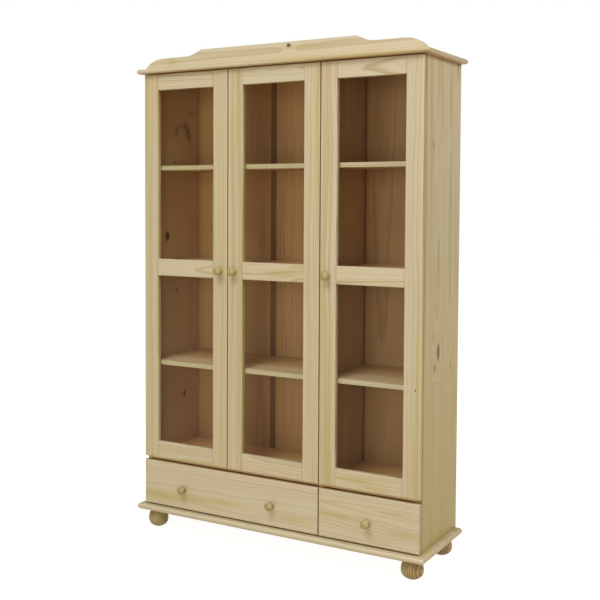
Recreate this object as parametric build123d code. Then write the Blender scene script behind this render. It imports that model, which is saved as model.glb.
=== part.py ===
"""Pine display cabinet: three glazed doors above two drawers, on four bun feet."""
import os

from build123d import *

# Main sizes, in millimetres
case_width = 1185.0
case_depth = 370.0
total_height = 1952.0
overhang = 25.0
crest_height = 65.0
foot_height = 76.0

# Board thicknesses
panel = 18.0
board = 22.0
sheet = 4.0
pane = 4.0

# Gaps seen at the front
joint_gap = 3.0
door_standoff = 3.0
door_gap_top = 4.0
drawer_gap_bottom = 5.0
drawer_door_gap = 15.0
drawer_front_height = 180.0
deck_above_door_foot = 5.0

# Edge shapes
nose_share = 0.45
nose_corner_share = 1.1
front_arris = 4.0
back_arris = 2.0
panel_arris = 1.5
opening_arris = 3.0

# Door frames
stile_width = 65.0
top_rail_height = 64.0
middle_rail_height = 68.0
bottom_rail_height = 68.0
lip = 14.0
rebate_width = 8.0
pane_clearance = 1.0
bead_round = 1.5
hinge_sides = (-1, 1, 1)

# Turned knobs
knob_head_radius = 16.5
knob_neck_radius = 6.8
knob_base_radius = 12.0
knob_projection = 38.0
knob_tenon_radius = 4.0
knob_tenon_length = 11.0
knob_edge_distance = 30.0
knob_drop = 2.5
drawer_knob_drop = 6.5
drawer_knob_spread = 0.254

# Turned feet
foot_radius = 41.0
foot_side_inset = 39.5
foot_front_inset = 16.0
foot_back_inset = 49.0
foot_waist_height = 33.5
foot_flat_radius = 14.5
foot_neck_radius = 20.3
foot_dowel_radius = 6.0
foot_dowel_length = 14.0
fit_clearance = 0.1

# Crest outline, as offsets from the end of its flat or from its outer end and shares of its height
crest_thickness = 18.0
crest_setback = 40.0
crest_past_side = 6.0
crest_flat_share = 0.56
crest_ogee = (
    (3, 0.977), (10, 0.93), (20, 0.855), (30, 0.783), (42, 0.719), (58, 0.672), (80, 0.653), (108, 0.651),
)
crest_shoulder = ((120, 0.652), (88, 0.65), (68, 0.63), (52, 0.58), (37, 0.495), (24, 0.39), (11, 0.23))

# Back sheets and their joining strips
side_rebate_depth = 5.2
side_rebate_width = 10.0
sheet_end_gap = 0.3
strip_offset = 203.0
strip_width = 26.0
strip_flange = 1.2
strip_web = 1.6

# Shelves and their supports
shelf_shares = (0.252, 0.511, 0.762)
shelf_front_gap = 3.0
shelf_back_gap = 2.0
shelf_side_gap = 1.0
support_inset = 37.0
support_pin_radius = 2.5
support_pin_length = 8.0
support_drop = 6.0
support_reach = 12.0
support_height = 12.0
support_width = 9.0
support_leaf = 2.0

# Drawers and their runners
drawer_wall = 12.0
drawer_box_height = 130.0
drawer_back_gap = 26.0
drawer_box_lift = 17.0
drawer_bottom_lift = 10.0
drawer_groove_depth = 5.0
drawer_bottom_gap = 0.2
runner_size = 12.0
runner_front_gap = 6.0
runner_end_gap = 4.0
runner_groove_depth = 7.0
runner_side_clearance = 0.5
runner_rest_gap = 0.2
runner_foot_gap = 0.3

# Concealed hinges, measured from the pin: first inwards along the door, then towards the back
pin_from_edge = 9.5
pin_from_face = 9.5
pin_radius = 1.25
pin_clearance = 0.05
knuckle_radius = 2.5
knuckle_half = 7.0
post_inner = 7.5
post_outer = 10.5
cup_centre = 11.0
cup_radius = 17.4
cup_wall = 0.8
cup_depth = 15.9
cup_rim = 18.0
rim_thickness = 0.8
cup_wing_half = 26.0
cup_wing_width = 12.0
arm_thickness = 3.0
arm_width = 9.0
arm_neck = ((0.0, 0.0), (17.0, 2.0), (21.5, 8.0), (21.5, 14.0))
arm_return = (17.0, 21.5)
arm_landing = (28.0, 34.0)
arm_bend_radius = 2.5
arm_base_thickness = 5.5
arm_base_width = 14.0
arm_base_front = 24.0
arm_base_back = 60.0
plate_thickness = 3.0
plate_width = 18.0
plate_wing_half = 22.0
hinge_end_distance = 110.0
hinge_above_shelf = 42.0

# Places that follow from the sizes above
case_bottom = foot_height + board
case_top = total_height - crest_height - panel
door_bottom = case_bottom + drawer_gap_bottom + drawer_front_height + drawer_door_gap
door_top = case_top - door_gap_top
door_width = (case_width - 2 * joint_gap) / 3
door_back_y = -door_standoff
door_front_y = door_back_y - board
deck_top = door_bottom + deck_above_door_foot
deck_bottom = deck_top - panel
inner_side = case_width / 2 - panel
partition_x = door_width / 2 + joint_gap / 2
inner_depth = case_depth - strip_flange * 2 - sheet
drawer_box_depth = inner_depth - drawer_back_gap + door_standoff
runner_length = inner_depth - drawer_back_gap - runner_end_gap - runner_front_gap
board_front_y = door_front_y - overhang
knob_tip_y = door_front_y - knob_projection
centre_y = (min(board_front_y, knob_tip_y) + case_depth) / 2
pin_y = door_front_y + pin_from_face
door_back_from_pin = board - pin_from_face


def block(x0, x1, y0, y1, z0, z1):
    """A square-edged piece between the given limits."""
    middle = Pos((x0 + x1) / 2, (y0 + y1) / 2, (z0 + z1) / 2)
    return middle * Box(x1 - x0, y1 - y0, z1 - z0)


def rounded_rectangle(u0, u1, v0, v1, radii):
    """A rectangle with a radius for each corner, from the lower left one and round by the right."""
    corners = ((u0, v0), (u1, v0), (u1, v1), (u0, v1))
    return make_face(FilletPolyline(*corners, radius=list(radii), close=True))


def across_x(face, x0, x1):
    """A profile drawn in depth and height, run along the width."""
    return extrude(Plane.YZ.offset(x0) * face, x1 - x0, dir=(1, 0, 0))


def across_y(face, y0, y1):
    """A profile drawn in width and height, run along the depth."""
    return extrude(Plane.XZ.offset(-y0) * face, y1 - y0, dir=(0, 1, 0))


def across_z(face, z0, z1):
    """A profile drawn in width and depth, run along the height."""
    return extrude(Plane.XY.offset(z0) * face, z1 - z0, dir=(0, 0, 1))


def nosed_board(z0, thickness):
    """Overhanging board with a rounded nose along its front and its two ends."""
    x1 = case_width / 2 + overhang
    z1 = z0 + thickness
    nose = thickness * nose_share
    corner = nose * nose_corner_share
    plan = rounded_rectangle(-x1, x1, board_front_y, case_depth, (corner, corner, 0, 0))
    slab = across_z(plan, z0, z1)
    rims = slab.faces().filter_by(Axis.Z).edges()
    free = rims.filter_by(lambda edge: edge.center().Y < case_depth - panel_arris)
    return fillet(free, nose)


def softened_front(x0, x1, z0, z1):
    """Door or drawer front slab with eased edges all round."""
    plan_radii = (front_arris, front_arris, back_arris, back_arris)
    side_radii = (front_arris, back_arris, back_arris, front_arris)
    plan = rounded_rectangle(x0, x1, door_front_y, door_back_y, plan_radii)
    side = rounded_rectangle(door_front_y, door_back_y, z0, z1, side_radii)
    return across_z(plan, z0, z1) & across_x(side, x0, x1)


def foot_places():
    """Centres of the four feet, left pair first."""
    side = case_width / 2 - foot_side_inset
    back = case_depth - foot_back_inset
    return [(x, y) for x in (-side, side) for y in (foot_front_inset, back)]


def bun_foot(x, y):
    """Turned foot, a slightly flattened ball with a dowel on top."""
    waist = (foot_radius, foot_waist_height)
    neck = (foot_neck_radius, foot_height)
    lower = Spline((foot_flat_radius, 0), waist, tangents=((1, 0.4), (0, 1)))
    upper = Spline(waist, neck, tangents=((0, 1), (-1, 0.75)))
    dowel_top = foot_height + foot_dowel_length
    dowel = ((foot_dowel_radius, foot_height), (foot_dowel_radius, dowel_top), (0, dowel_top))
    rest = Polyline(neck, *dowel, (0, 0), (foot_flat_radius, 0))
    half = make_face(Curve() + [lower, upper, rest])
    return Pos(x, y, 0) * revolve(Plane.XZ * half, Axis.Z)


def plinth_board():
    """Lower nosed board, bored for the foot dowels."""
    solid = nosed_board(foot_height, board)
    depth = foot_dowel_length + fit_clearance
    for x, y in foot_places():
        bore = Cylinder(foot_dowel_radius + fit_clearance, depth)
        solid = solid - Pos(x, y, foot_height + depth / 2) * bore
    return solid


def crest():
    """Board on top: a long flat, an ogee at each end of it and rounded shoulders."""
    half_length = case_width / 2 + crest_past_side
    flat = case_width / 2 * crest_flat_share
    curve = [(flat + offset, crest_height * share) for offset, share in crest_ogee]
    curve += [(half_length - offset, crest_height * share) for offset, share in crest_shoulder]
    curve += [(half_length, 0)]
    left = [(-x, z) for x, z in reversed(curve)]
    edges = [Spline(*curve)]
    edges += [Line((half_length, 0), (-half_length, 0))]
    edges += [Spline(*left)]
    edges += [Polyline(left[-1], (-flat, crest_height), (flat, crest_height), curve[0])]
    face = Pos(0, case_top + panel) * make_face(Curve() + edges)
    front = board_front_y + crest_setback
    return across_y(face, front, front + crest_thickness)


def side_panel(side):
    """Outer side panel with a rear rebate for the back sheets and holes for the shelf supports."""
    outer = side * case_width / 2
    inner = side * inner_side
    x0, x1 = sorted((outer, inner))
    arris = panel_arris
    plan = rounded_rectangle(x0, x1, 0, case_depth, (arris, arris, arris / 2, arris / 2))
    solid = across_z(plan, case_bottom, case_top)
    rebate_x = inner + side * side_rebate_depth
    rx0, rx1 = sorted((inner - side, rebate_x))
    solid = solid - block(rx0, rx1, case_depth - side_rebate_width, case_depth + 1, case_bottom, case_top)
    return solid - support_holes(inner, side)


def support_levels():
    """Underside heights of the shelves, from the lowest."""
    clear = case_top - deck_top
    return [deck_top + clear * share - panel for share in shelf_shares]


def support_depths():
    """Distances of the supports behind the front edge of the case."""
    shelf_back = inner_depth - shelf_back_gap
    return (shelf_front_gap + support_inset, shelf_back - support_inset)


def support_holes(face_x, side):
    """Holes into a panel whose inner face is at face_x, bored towards the given side."""
    depth = support_pin_length + 0.5
    holes = []
    for level in support_levels():
        for y in support_depths():
            hole = Rot(0, 90, 0) * Cylinder(support_pin_radius + fit_clearance / 2, depth)
            holes.append(Pos(face_x + side * depth / 2, y, level - support_drop) * hole)
    return Part() + holes


def upright(z0, z1):
    """Inner upright panel between the given heights."""
    x0 = partition_x - panel / 2
    arris = panel_arris
    plan = rounded_rectangle(x0, x0 + panel, 0, inner_depth, (arris, arris, 0, 0))
    return across_z(plan, z0, z1)


def partition():
    """Upright behind the gap between the middle and the right door."""
    solid = upright(deck_top, case_top)
    solid = solid - support_holes(partition_x - panel / 2, 1)
    return solid - support_holes(partition_x + panel / 2, -1)


def flat_board(x0, x1, y0, y1, z0):
    """Level board with eased front edges."""
    z1 = z0 + panel
    profile = rounded_rectangle(y0, y1, z0, z1, (panel_arris, 0, 0, panel_arris))
    return across_x(profile, x0, x1)


def deck_board():
    """Floor of the glazed space, above the drawers."""
    return flat_board(-inner_side, inner_side, 0, inner_depth, deck_bottom)


def bays():
    """Left and right limits of the wide and of the narrow compartment."""
    wide = (-inner_side, partition_x - panel / 2)
    narrow = (partition_x + panel / 2, inner_side)
    return (wide, narrow)


def shelf(bay, level):
    """Loose shelf lying on its four supports."""
    x0 = bay[0] + shelf_side_gap
    x1 = bay[1] - shelf_side_gap
    return flat_board(x0, x1, shelf_front_gap, inner_depth - shelf_back_gap, level)


def shelf_support():
    """Angle with a web and a pin, drawn for a panel on its left, its top at the origin."""
    reach = support_reach
    drop = support_height
    leaf = support_leaf
    corner = ((0, 0), (0, -drop), (leaf, -drop), (leaf, -leaf), (reach, -leaf), (reach, 0))
    angle = across_y(make_face(Polyline(*corner, close=True)), -support_width / 2, support_width / 2)
    web_points = ((leaf / 2, -leaf / 2), (leaf / 2, -drop), (leaf, -drop), (reach, -leaf), (reach, -leaf / 2))
    web = across_y(make_face(Polyline(*web_points, close=True)), -leaf / 2, leaf / 2)
    pin = Rot(0, 90, 0) * Cylinder(support_pin_radius, support_pin_length + leaf)
    pin = Pos((leaf - support_pin_length) / 2, 0, -support_drop) * pin
    return angle + web + pin


def shelf_supports():
    """All the supports, four under each shelf."""
    left_hand = shelf_support()
    right_hand = mirror(left_hand, about=Plane.YZ)
    supports = []
    for bay in bays():
        for level in support_levels():
            for y in support_depths():
                supports.append(Pos(bay[0], y, level) * left_hand)
                supports.append(Pos(bay[1], y, level) * right_hand)
    return supports


def back_sheet(index):
    """One of the three thin sheets that close the back."""
    end = inner_side + side_rebate_depth - sheet_end_gap
    joint = strip_web / 2 + sheet_end_gap
    limits = (-end, -strip_offset, strip_offset, end)
    x0 = limits[index] + (joint if index > 0 else 0)
    x1 = limits[index + 1] - (joint if index < 2 else 0)
    y0 = inner_depth + strip_flange
    return block(x0, x1, y0, y0 + sheet, case_bottom, case_top)


def back_joint_strip(x):
    """H-shaped strip that grips the edges of two back sheets."""
    half = strip_width / 2
    web = strip_web / 2
    y0 = inner_depth
    y1 = y0 + strip_flange
    y2 = y1 + sheet
    front = block(x - half, x + half, y0, y1, case_bottom, case_top)
    rear = block(x - half, x + half, y2, case_depth, case_bottom, case_top)
    middle = block(x - web, x + web, y1, y2, case_bottom, case_top)
    return front + middle + rear


def door_limits(index):
    """Left and right edges of a door, counted from the left."""
    x0 = -case_width / 2 + index * (door_width + joint_gap)
    return (x0, x0 + door_width)


def opening_heights():
    """Lower and upper limits of the two glazed openings of a door."""
    rails = top_rail_height + middle_rail_height + bottom_rail_height
    height = (door_top - door_bottom - rails) / 2
    lower = door_bottom + bottom_rail_height
    upper = door_top - top_rail_height - height
    return ((lower, lower + height), (upper, upper + height))


def door_frame(index):
    """Whole door frame before it is parted into its stiles and rails."""
    x0, x1 = door_limits(index)
    left = x0 + stile_width
    right = x1 - stile_width
    solid = softened_front(x0, x1, door_bottom, door_top)
    for z0, z1 in opening_heights():
        solid = solid - block(left, right, door_front_y - 1, 0, z0, z1)
    front = solid.faces().filter_by(Axis.Y).sort_by(Axis.Y)[0]
    rims = [edge for wire in front.inner_wires() for edge in wire.edges()]
    solid = fillet(rims, opening_arris)
    room = rebate_width
    for z0, z1 in opening_heights():
        solid = solid - block(left - room, right + room, door_front_y + lip, 0, z0 - room, z1 + room)
    return solid


def door_pin_x(index):
    """Place of the hinge pins of a door."""
    x0, x1 = door_limits(index)
    return x0 + pin_from_edge if hinge_sides[index] < 0 else x1 - pin_from_edge


def door_knob_x(index):
    """Place of the knob of a door, on the closing stile."""
    x0, x1 = door_limits(index)
    return x1 - knob_edge_distance if hinge_sides[index] < 0 else x0 + knob_edge_distance


def hinge_heights():
    """Heights of the three hinges of a door."""
    middle = support_levels()[1] + panel + hinge_above_shelf
    return (door_bottom + hinge_end_distance, middle, door_top - hinge_end_distance)


def door_knob_z():
    """Height of the door knobs, near the middle of the middle rail."""
    lower, upper = opening_heights()
    return (lower[1] + upper[0]) / 2 - knob_drop


def knob_bore(x, z):
    """Blind bore for a knob tenon."""
    depth = knob_tenon_length + fit_clearance
    bore = Rot(90, 0, 0) * Cylinder(knob_tenon_radius + fit_clearance, depth)
    return Pos(x, door_front_y + depth / 2, z) * bore


def door_stiles(index, frame):
    """The two upright frame members, bored for the hinge cups and for the knob."""
    x0, x1 = door_limits(index)
    limits = ((x0, x0 + stile_width), (x1 - stile_width, x1))
    inward = -hinge_sides[index]
    cup_x = door_pin_x(index) + inward * cup_centre
    depth = cup_depth + fit_clearance
    stiles = []
    for left, right in limits:
        stile = frame & block(left, right, door_front_y, door_back_y, door_bottom, door_top)
        if left < cup_x < right:
            for z in hinge_heights():
                bore = Rot(90, 0, 0) * Cylinder(cup_radius + fit_clearance, depth)
                stile = stile - Pos(cup_x, door_back_y - depth / 2, z) * bore
        if left < door_knob_x(index) < right:
            stile = stile - knob_bore(door_knob_x(index), door_knob_z())
        stiles.append(stile)
    return stiles


def door_rail(index, frame, z0, z1):
    """A level frame member between the stiles."""
    x0, x1 = door_limits(index)
    return frame & block(x0 + stile_width, x1 - stile_width, door_front_y, door_back_y, z0, z1)


def door_panes(index):
    """Two glass panes, lying against the lips of the frame."""
    x0, x1 = door_limits(index)
    reach = rebate_width - pane_clearance
    left = x0 + stile_width - reach
    right = x1 - stile_width + reach
    y0 = door_front_y + lip
    return [block(left, right, y0, y0 + pane, z0 - reach, z1 + reach) for z0, z1 in opening_heights()]


def door_beads(index):
    """Glazing beads behind the panes, four to an opening."""
    x0, x1 = door_limits(index)
    left = x0 + stile_width
    right = x1 - stile_width
    room = rebate_width
    y0 = door_front_y + lip + pane
    y1 = door_back_y
    beads = []
    for z0, z1 in opening_heights():
        low = rounded_rectangle(y0, y1, z0 - room, z0, (0, 0, bead_round, 0))
        high = rounded_rectangle(y0, y1, z1, z1 + room, (0, bead_round, 0, 0))
        near = rounded_rectangle(left - room, left, y0, y1, (0, 0, bead_round, 0))
        far = rounded_rectangle(right, right + room, y0, y1, (0, 0, 0, bead_round))
        beads.append(across_x(low, left, right))
        beads.append(across_x(high, left, right))
        beads.append(across_z(near, z0 - room, z1 + room))
        beads.append(across_z(far, z0 - room, z1 + room))
    return beads


def knob(x, z):
    """Turned knob with a domed head, a waist, a foot and a tenon."""
    head = knob_head_radius
    waist = knob_neck_radius
    foot = knob_base_radius
    reach = knob_projection
    rim = (head, reach * 0.72)
    below = Spline((foot, reach * 0.07), (waist, reach * 0.3), (head * 0.7, reach * 0.55), rim)
    dome = Spline(rim, (head * 0.72, reach * 0.92), (0, reach), tangents=((0, 1), (-1, 0)))
    end = -knob_tenon_length
    tenon = knob_tenon_radius
    rest = Polyline((0, reach), (0, end), (tenon, end), (tenon, 0), (foot, 0), (foot, reach * 0.07))
    profile = make_face(Curve() + [below, dome, rest])
    return Pos(x, door_front_y, z) * Rot(180, 0, 0) * revolve(profile, Axis.Y)


def drawer_span(index):
    """Limits of the drawer front, then of the space its box runs in."""
    split = partition_x
    half = joint_gap / 2
    fronts = ((-case_width / 2, split - half), (split + half, case_width / 2))
    return fronts[index], bays()[index]


def drawer_box_limits(index):
    """Outer faces of the drawer box and its lower edge."""
    space = drawer_span(index)[1]
    clearance = runner_size - runner_groove_depth + runner_side_clearance
    return (space[0] + clearance, space[1] - clearance, case_bottom + drawer_box_lift)


def drawer_knob_places(index):
    """Knobs of a drawer: a pair on the wide one, a single one on the narrow one."""
    x0, x1 = drawer_span(index)[0]
    middle = (x0 + x1) / 2
    shift = (x1 - x0) * drawer_knob_spread
    z = case_bottom + drawer_gap_bottom + drawer_front_height / 2 - drawer_knob_drop
    return ((middle - shift, z), (middle + shift, z)) if index == 0 else ((middle, z),)


def bottom_groove(index):
    """Room that the edges of the drawer bottom take in the boards round it."""
    x0, x1, z0 = drawer_box_limits(index)
    inset = drawer_wall - drawer_groove_depth
    gap = drawer_bottom_gap / 2
    low = z0 + drawer_bottom_lift
    front = door_back_y - drawer_groove_depth
    back = door_back_y + drawer_box_depth
    return block(x0 + inset, x1 - inset, front, back + 1, low - gap, low + sheet + gap)


def drawer_front(index):
    """Drawer front lying over the case, grooved for the bottom and bored for its knobs."""
    x0, x1 = drawer_span(index)[0]
    z0 = case_bottom + drawer_gap_bottom
    solid = softened_front(x0, x1, z0, z0 + drawer_front_height)
    solid = solid - bottom_groove(index)
    for x, z in drawer_knob_places(index):
        solid = solid - knob_bore(x, z)
    return solid


def drawer_sides(index):
    """The two side walls of the drawer box, each with a running groove on its outer face."""
    x0, x1, z0 = drawer_box_limits(index)
    y0 = door_back_y
    y1 = door_back_y + drawer_box_depth
    z1 = z0 + drawer_box_height
    low = runner_bottom() - runner_foot_gap
    high = runner_bottom() + runner_size + runner_rest_gap
    walls = []
    for outer, inner in ((x0, x0 + drawer_wall), (x1, x1 - drawer_wall)):
        left, right = sorted((outer, inner))
        wall = block(left, right, y0, y1, z0, z1)
        inward = 1 if inner > outer else -1
        gl, gr = sorted((outer - inward, outer + inward * runner_groove_depth))
        wall = wall - block(gl, gr, y0 - 1, y1 + 1, low, high)
        walls.append(wall - bottom_groove(index))
    return walls


def drawer_back(index):
    """Rear wall of the drawer box, standing on the bottom."""
    x0, x1, z0 = drawer_box_limits(index)
    back = door_back_y + drawer_box_depth
    low = z0 + drawer_bottom_lift + sheet
    return block(x0 + drawer_wall, x1 - drawer_wall, back - drawer_wall, back, low, z0 + drawer_box_height)


def drawer_bottom(index):
    """Thin bottom held in the grooves of the front and the sides."""
    x0, x1, z0 = drawer_box_limits(index)
    inset = drawer_wall - drawer_groove_depth + drawer_bottom_gap
    front = door_back_y - drawer_groove_depth + drawer_bottom_gap
    back = door_back_y + drawer_box_depth
    low = z0 + drawer_bottom_lift
    return block(x0 + inset, x1 - inset, front, back, low, low + sheet)


def runner_bottom():
    """Lower face of the runners, at mid height of the drawer box."""
    return case_bottom + drawer_box_lift + (drawer_box_height - runner_size) / 2


def drawer_runners():
    """Battens on both sides of each drawer space."""
    z0 = runner_bottom()
    y0 = runner_front_gap
    runners = []
    for left, right in bays():
        for x0 in (left, right - runner_size):
            profile = rounded_rectangle(y0, y0 + runner_length, z0, z0 + runner_size, (2, 0, 0, 2))
            runners.append(across_x(profile, x0, x0 + runner_size))
    return runners


def placed_hinge(shape, index, z):
    """Puts a hinge piece drawn about its pin for a left-hinged door where it belongs."""
    if hinge_sides[index] > 0:
        shape = mirror(shape, about=Plane.YZ)
    return Pos(door_pin_x(index), pin_y, z) * shape


def hinge_cup():
    """Cup with a rim, two wings and the pin across two posts, drawn about the pin."""
    back = door_back_from_pin
    floor = back - cup_depth
    inner = cup_radius - cup_wall
    turn = Rot(90, 0, 0)
    body = Pos(cup_centre, (back + floor) / 2, 0) * turn * Cylinder(cup_radius, cup_depth)
    rim = Pos(cup_centre, back + rim_thickness / 2, 0) * turn * Cylinder(cup_rim, rim_thickness)
    half = cup_wing_width / 2
    wing_ends = (-cup_wing_half, cup_wing_half)
    wing = rounded_rectangle(cup_centre - half, cup_centre + half, *wing_ends, (5, 5, 5, 5))
    wings = across_y(wing, back, back + rim_thickness)
    hollow_depth = cup_depth + rim_thickness
    hollow_y = floor + cup_wall + hollow_depth / 2
    cup = body + rim + wings - Pos(cup_centre, hollow_y, 0) * turn * Cylinder(inner, hollow_depth)
    posts = block(-knuckle_radius, knuckle_radius, floor, knuckle_radius, post_inner, post_outer)
    posts = posts + block(-knuckle_radius, knuckle_radius, floor, knuckle_radius, -post_outer, -post_inner)
    posts = posts & Pos(cup_centre, 0, 0) * turn * Cylinder(cup_radius - cup_wall / 2, 4 * cup_depth)
    return cup + posts + Cylinder(pin_radius, 2 * post_outer - 1)


def plate_face(index):
    """Distance of the panel face that carries a hinge, inwards from the pin."""
    outer_door = index != 1
    reach = panel if outer_door else panel / 2 - joint_gap / 2
    return reach - pin_from_edge


def hinge_arm(index):
    """Goose-necked arm with a knuckle round the pin and a foot on the mounting plate."""
    foot = plate_face(index) + plate_thickness
    end = foot + arm_base_thickness / 2
    turn = (arm_return[0] + end / 8, arm_return[1])
    path = arm_neck + (turn, (end, arm_landing[0]), (end, arm_landing[1]))
    centre_line = FilletPolyline(*path, radius=arm_bend_radius)
    ribbon = make_face(offset(centre_line, arm_thickness / 2, kind=Kind.ARC).edges())
    arm = across_z(ribbon, -arm_width / 2, arm_width / 2)
    arm = arm + Cylinder(knuckle_radius, 2 * knuckle_half)
    half = arm_base_width / 2
    base = rounded_rectangle(arm_base_front, arm_base_back, -half, half, (3, 3, 3, 3))
    arm = arm + across_x(base, foot, foot + arm_base_thickness)
    return arm - Cylinder(pin_radius + pin_clearance, 2 * knuckle_half + 2)


def hinge_plate(index):
    """Cross-shaped mounting plate screwed to a panel."""
    face = plate_face(index)
    length = arm_base_back - arm_base_front
    middle = (arm_base_front + arm_base_back) / 2
    half = plate_width / 2
    bar = rounded_rectangle(arm_base_front - 1, arm_base_front + length + 3, -half, half, (3, 3, 3, 3))
    wing = rounded_rectangle(middle - 6, middle + 6, -plate_wing_half, plate_wing_half, (5, 5, 5, 5))
    plate = across_x(bar, face, face + plate_thickness)
    return plate + across_x(wing, face, face + plate_thickness)


def save(name, shapes):
    """Writes one node, its solids moved so that the origin is under the middle of the cabinet."""
    moved = [Pos(0, -centre_y, 0) * shape for shape in shapes]
    solids = [solid for shape in moved for solid in shape.solids()]
    whole = solids[0] if len(solids) == 1 else Compound(children=solids)
    export_step(whole, os.path.join("parts", name + ".step"))


def save_case():
    """Writes the fixed pieces."""
    save("side_left", [side_panel(-1)])
    save("side_right", [side_panel(1)])
    save("partition", [partition()])
    save("drawer_divider", [upright(case_bottom, deck_bottom)])
    save("top_board", [nosed_board(case_top, panel)])
    save("plinth_board", [plinth_board()])
    save("crest", [crest()])
    save("deck_board", [deck_board()])
    save("bun_feet", [bun_foot(x, y) for x, y in foot_places()])
    for index, place in enumerate(("left", "middle", "right")):
        save("back_sheet_" + place, [back_sheet(index)])
    save("back_joint_strips", [back_joint_strip(x) for x in (-strip_offset, strip_offset)])
    for bay, width in zip(bays(), ("wide", "narrow")):
        for level, height in zip(support_levels(), ("lower", "middle", "upper")):
            save("shelf_" + width + "_" + height, [shelf(bay, level)])
    save("shelf_supports", shelf_supports())
    save("drawer_runners", drawer_runners())


def save_door(index, name):
    """Writes the pieces of one door and the fixed pieces of its hinges."""
    frame = door_frame(index)
    lower, upper = opening_heights()
    save(name + "_stiles", door_stiles(index, frame))
    save(name + "_bottom_rail", [door_rail(index, frame, door_bottom, lower[0])])
    save(name + "_middle_rail", [door_rail(index, frame, lower[1], upper[0])])
    save(name + "_top_rail", [door_rail(index, frame, upper[1], door_top)])
    save(name + "_panes", door_panes(index))
    save(name + "_beads", door_beads(index))
    save(name + "_knob", [knob(door_knob_x(index), door_knob_z())])
    cup = hinge_cup()
    save(name + "_hinge_cups", [placed_hinge(cup, index, z) for z in hinge_heights()])
    arm = hinge_arm(index)
    save("hinge_arms" + name[4:], [placed_hinge(arm, index, z) for z in hinge_heights()])


def save_drawer(index, name):
    """Writes the pieces of one drawer."""
    save(name + "_front", [drawer_front(index)])
    save(name + "_sides", drawer_sides(index))
    save(name + "_back", [drawer_back(index)])
    save(name + "_bottom", [drawer_bottom(index)])
    save(name + "_knobs", [knob(x, z) for x, z in drawer_knob_places(index)])


os.makedirs("parts", exist_ok=True)
save_case()
for door_index, door_name in enumerate(("door_left", "door_middle", "door_right")):
    save_door(door_index, door_name)
hinge_plates = []
for door_index in range(3):
    for hinge_z in hinge_heights():
        hinge_plates.append(placed_hinge(hinge_plate(door_index), door_index, hinge_z))
save("hinge_plates", hinge_plates)
save_drawer(0, "drawer_wide")
save_drawer(1, "drawer_narrow")
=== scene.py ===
"""Woods, glass, fittings, stage and camera for a tall glazed pine cabinet."""
import math

import bmesh
import bpy
from bpy.props import FloatProperty, FloatVectorProperty, PointerProperty
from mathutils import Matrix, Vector


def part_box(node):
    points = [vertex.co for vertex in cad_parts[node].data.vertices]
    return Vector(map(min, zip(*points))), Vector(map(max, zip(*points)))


bl_info = {
    "name": "Pine Display Cabinet",
    "version": (1, 0, 0),
    "blender": (4, 5, 0),
    "location": "View3D > Sidebar > Cabinet",
    "description": "Gives a glazed pine cabinet its woods, glass, fittings, stage and camera",
    "category": "Object",
}

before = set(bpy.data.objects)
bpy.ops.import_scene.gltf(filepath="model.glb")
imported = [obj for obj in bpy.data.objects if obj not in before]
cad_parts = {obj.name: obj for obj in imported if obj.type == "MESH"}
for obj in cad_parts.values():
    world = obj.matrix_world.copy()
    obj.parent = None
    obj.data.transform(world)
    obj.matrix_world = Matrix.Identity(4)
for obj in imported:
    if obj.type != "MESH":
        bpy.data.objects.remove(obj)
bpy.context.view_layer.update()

DOORS = ("door_left", "door_middle", "door_right")
DRAWERS = ("drawer_wide", "drawer_narrow")
SHELVES = tuple(f"shelf_{bay}_{level}" for bay in ("wide", "narrow") for level in ("upper", "middle", "lower"))
AXES = "xyz"
WHITE = (1.0, 1.0, 1.0)
SKIN = 0.0005  # what lies nearer to a board's face than this, in metres, counts as that face
NOSE = 0.0008  # the same for the shelves' front edges
LIT_SHELF_STRIP = 0.09  # depth of the painted light along the front of the shelves' tops, in metres

# Knots: place along the grain, place across it, and size, in metres.
SIDE_RIGHT_KNOTS = ((0.805, -0.004, 0.020), (0.751, -0.040, 0.009), (1.555, -0.076, 0.005))
SIDE_LEFT_KNOTS = ((1.516, 0.016, 0.006), (1.204, -0.040, 0.020), (0.516, 0.093, 0.013), (0.974, 0.029, 0.008))
PARTITION_KNOTS = ((1.129, -0.034, 0.009),)
CREST_KNOTS = ((0.058, 1.938, 0.009),)
STILE_KNOTS = {"door_right": ((0.688, 0.572, 0.0035),)}

# Marks: place along the grain, place across it, reach along it, width and weight.
# A weight above 0 makes a straw streak, and one below 0 a brown resin mark.
# The wide straw mark at 0.10 along, 0.35 wide, is painted shade: the lower side darker and yellower.
SIDE_RIGHT_MARKS = (
    (1.552, -0.075, 0.09, 0.010, 1.0), (1.0, -0.146, 0.9, 0.009, 1.0), (1.86, -0.151, 0.17, 0.0055, -0.9),
    (1.852, 0.178, 0.035, 0.007, -0.8), (0.10, 0.0, 0.80, 0.35, 0.95), (0.733, 0.136, 0.02, 0.006, -0.8),
    (0.95, -0.151, 1.8, 0.006, -0.42), (0.30, 0.10, 0.35, 0.02, 0.6), (0.55, -0.11, 0.3, 0.012, 0.8),
)
SIDE_LEFT_MARKS = (
    (1.645, 0.030, 0.016, 0.010, -1.0), (1.662, 0.047, 0.010, 0.012, -0.8), (1.672, 0.070, 0.007, 0.020, -0.8),
    (1.674, 0.102, 0.018, 0.012, -1.0), (1.650, 0.117, 0.022, 0.016, -1.0), (1.626, 0.129, 0.018, 0.012, -1.0),
    (1.733, 0.135, 0.008, 0.030, -0.5),
)
CREST_MARKS = ((-0.47, 1.912, 0.02, 0.02, 0.8), (0.13, 1.925, 0.16, 0.006, 0.7))
DRAWER_MARKS = (
    ((-0.52, 0.140, 0.13, 0.026, 0.9), (-0.37, 0.152, 0.11, 0.018, 0.9), (-0.22, 0.162, 0.09, 0.012, 0.85),
     (0.09, 0.145, 0.08, 0.014, 0.7)),
    ((0.27, 0.186, 0.09, 0.009, 0.9), (0.54, 0.168, 0.07, 0.012, 0.8), (0.44, 0.13, 0.05, 0.01, 0.5)),
)
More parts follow.
